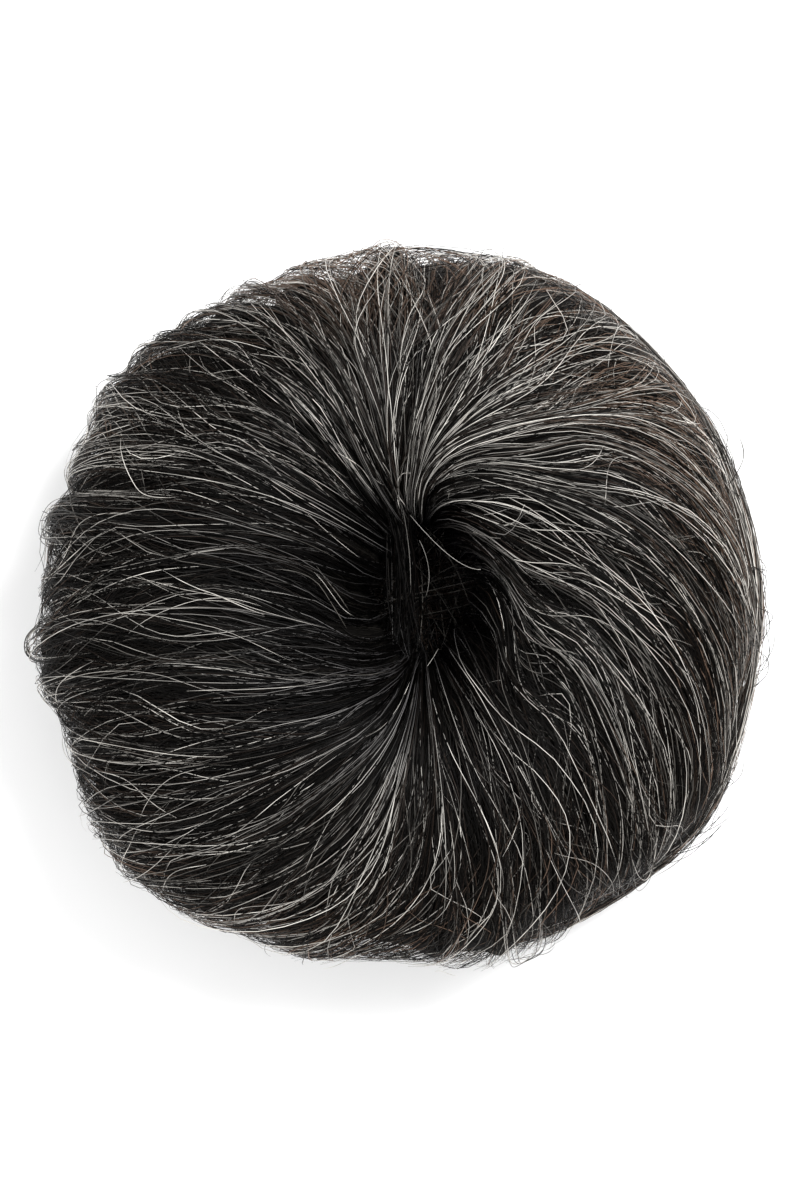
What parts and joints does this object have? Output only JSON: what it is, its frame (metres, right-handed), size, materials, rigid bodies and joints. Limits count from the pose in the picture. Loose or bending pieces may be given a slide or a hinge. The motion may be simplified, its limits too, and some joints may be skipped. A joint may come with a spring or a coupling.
{
  "type": "top knot hairpiece",
  "caption": "Round messy bun hairpiece: looped locks of mixed black, brown and grey false hair on an elastic band, with an open middle for a ponytail.",
  "frame": {"origin": "bottom centre of the bounding box, on the surface that the hairpiece lies on", "axes": "+Z up, out of the top of the bun; +X to the right and +Y up as the picture shows the bun from above"},
  "size_m": [0.1257, 0.1207, 0.061],
  "materials": {
    "elastic": "matt black knitted cover over an elastic core",
    "under_hair": "dark brown false hair with a soft sheen",
    "top_hair": "off-black false hair with a soft sheen",
    "grey_hair": "grey and silver false hair with a soft sheen"
  },
  "bodies": {
    "root": {"elastic_band": "elastic", "lower_weft": "under_hair", "upper_weft": "top_hair"}
  },
  "joints": []
}
